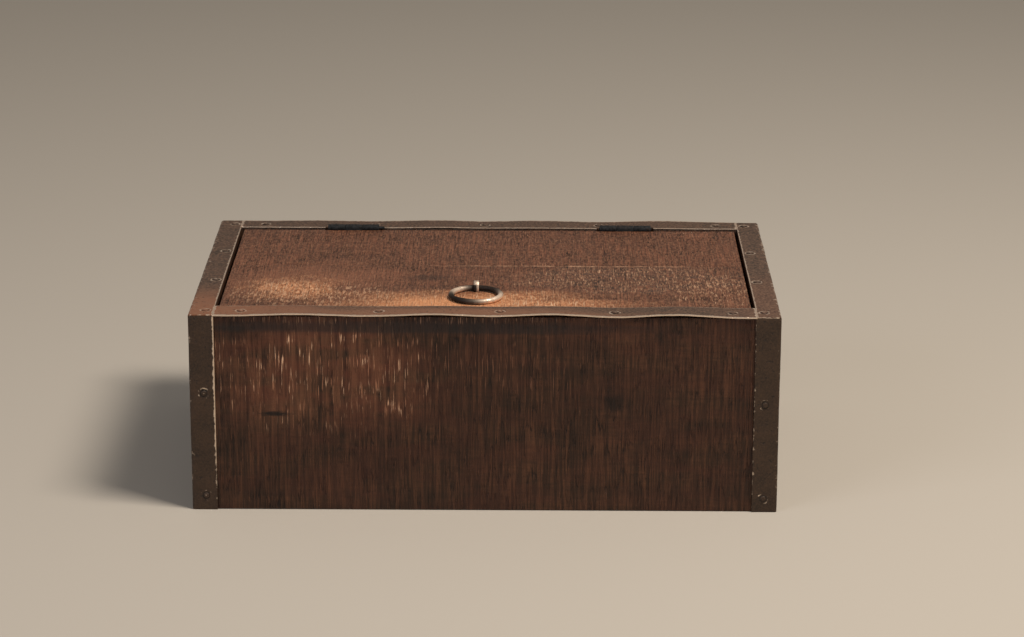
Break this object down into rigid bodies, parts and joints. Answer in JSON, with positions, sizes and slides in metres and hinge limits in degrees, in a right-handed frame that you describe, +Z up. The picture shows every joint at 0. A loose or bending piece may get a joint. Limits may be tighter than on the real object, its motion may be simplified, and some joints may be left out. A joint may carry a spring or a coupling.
{
  "type": "tea caddy",
  "caption": "Rectangular wooden tea caddy bound with thin copper strip, with a flush hinged lid, a ring pull and a tinned lining.",
  "frame": {"origin": "middle of the underside, on the surface that the box stands on", "axes": "+Z up, the front with the ring pull towards -Y, +X to the right as seen from the front, the lid hinges along X at the back"},
  "size_m": [0.271, 0.1668, 0.0984],
  "materials": {
    "reddish_wood": "old oiled hardwood, reddish brown, fine cracks across the grain",
    "plain_wood": "bare sawn softwood, darkened",
    "tinned_sheet": "hot-tinned sheet, dull grey, soldered at the corners",
    "copper_strip": "thin sheet copper with a dark brown patina, rubbed bright along the edges",
    "copper_nail": "small domed nails, brown patina",
    "iron_hinge": "blackened wrought iron, worn",
    "iron_screw": "blackened iron, slotted",
    "iron_nail": "plain drawn iron",
    "bronze_pull": "rubbed bronze, brown in the hollows and bright on the high places"
  },
  "bodies": {
    "case": {"base_board": "reddish_wood", "front_board": "reddish_wood", "back_board": "reddish_wood", "left_end_board": "reddish_wood", "right_end_board": "reddish_wood", "left_lid_ledge": "plain_wood", "right_lid_ledge": "plain_wood", "front_lid_ledge": "plain_wood", "tin_liner": "tinned_sheet", "front_left_corner_strip": "copper_strip", "front_right_corner_strip": "copper_strip", "back_left_corner_strip": "copper_strip", "back_right_corner_strip": "copper_strip", "left_end_strip": "copper_strip", "right_end_strip": "copper_strip", "front_rim_strip": "copper_strip", "back_rim_strip": "copper_strip", "front_rim_strip_nails": "copper_nail", "back_rim_strip_nails": "copper_nail", "left_end_strip_nails": "copper_nail", "right_end_strip_nails": "copper_nail", "front_left_corner_strip_nails": "copper_nail", "front_right_corner_strip_nails": "copper_nail", "back_left_corner_strip_nails": "copper_nail", "back_right_corner_strip_nails": "copper_nail", "left_hinge_box_leaf": "iron_hinge", "left_hinge_pin": "iron_hinge", "right_hinge_box_leaf": "iron_hinge", "right_hinge_pin": "iron_hinge", "left_hinge_box_screws": "iron_screw", "right_hinge_box_screws": "iron_screw", "case_brads": "iron_nail", "base_nails": "iron_nail"},
    "lid": {"lid_front_plank": "reddish_wood", "lid_back_plank": "reddish_wood", "left_hinge_lid_leaf": "iron_hinge", "right_hinge_lid_leaf": "iron_hinge", "left_hinge_lid_screws": "iron_screw", "right_hinge_lid_screws": "iron_screw", "ring_staple": "bronze_pull"},
    "pull": {"ring_pull": "bronze_pull"}
  },
  "joints": [
    {"name": "lid_hinge", "type": "hinge", "parent": "case", "child": "lid", "pos_m": [0, 0.0695, 0.0942], "axis": [-1, 0, 0], "range_deg": [0, 175]},
    {"name": "pull_swing", "type": "hinge", "parent": "lid", "child": "pull", "pos_m": [-0.0045, -0.0397, 0.095], "axis": [-1, 0, 0], "range_deg": [0, 180]}
  ]
}
